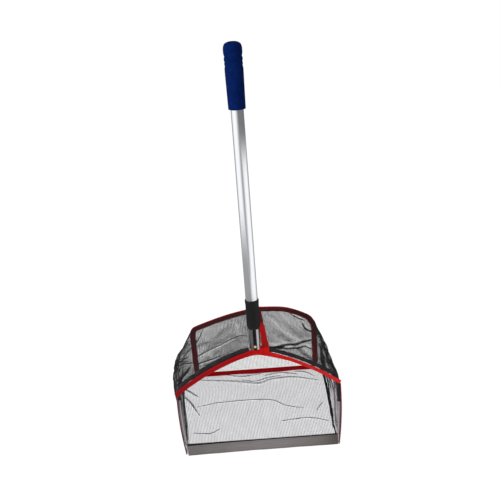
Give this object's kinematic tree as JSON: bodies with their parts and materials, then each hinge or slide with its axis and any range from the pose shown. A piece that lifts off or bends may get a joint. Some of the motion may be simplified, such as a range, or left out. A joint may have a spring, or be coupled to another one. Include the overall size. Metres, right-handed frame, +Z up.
{
  "type": "long-handled scoop net",
  "caption": "Scoop net: a boxy mesh bag with a gabled wire mouth and a flat lip, taped at its seams, on a leaning telescopic pole with a foam grip.",
  "frame": {"origin": "middle of the lip's flat underside, on the floor that the net stands on", "axes": "+Z up; +Y back from the mouth into the bag; +X to the right seen from in front of the mouth; the mouth's frame and the pole lean back 11.5 degrees"},
  "size_m": [0.3538, 0.2789, 0.8483],
  "materials": {
    "chrome": "polished",
    "satin_aluminium": "satin",
    "brass": "polished",
    "steel_wire": "drawn wire",
    "black_plastic": "moulded",
    "white_nylon": "moulded",
    "blue_foam": "matte foam",
    "red_tape": "woven tape",
    "black_mesh": "open net",
    "black_cloth": "woven",
    "grey_cloth": "coated weave"
  },
  "bodies": {
    "net": {"mouth_frame": "steel_wire", "frame_socket": "white_nylon", "socket_rivet": "brass", "inner_tube": "chrome", "lock_core": "white_nylon", "lip_sleeve": "grey_cloth", "lip_stiffener": "white_nylon", "gable_hem_left": "black_cloth", "gable_hem_right": "black_cloth", "side_hem_left": "black_cloth", "side_hem_right": "black_cloth", "gable_tape": "red_tape", "side_tape_left": "red_tape", "side_tape_right": "red_tape", "bag_floor": "black_mesh", "bag_back": "black_mesh", "bag_left": "black_mesh", "bag_right": "black_mesh", "rear_hoop": "steel_wire", "rear_tape": "red_tape", "ridge_ribbon": "red_tape"},
    "lock": {"lock_sleeve": "black_plastic", "lock_cone": "white_nylon"},
    "handle": {"outer_tube": "satin_aluminium", "end_sleeve": "black_plastic", "tube_plug": "black_plastic", "grip": "blue_foam"}
  },
  "joints": [
    {"name": "lock_twist", "type": "hinge", "parent": "net", "child": "lock", "pos_m": [0, 0.1575, 0.77414], "axis": [0, 0.1994, 0.9799], "range_deg": [0, 180]},
    {"name": "pole_extend", "type": "slide", "parent": "lock", "child": "handle", "axis": [0, 0.1994, 0.9799], "range_m": [0, 0.4]}
  ]
}
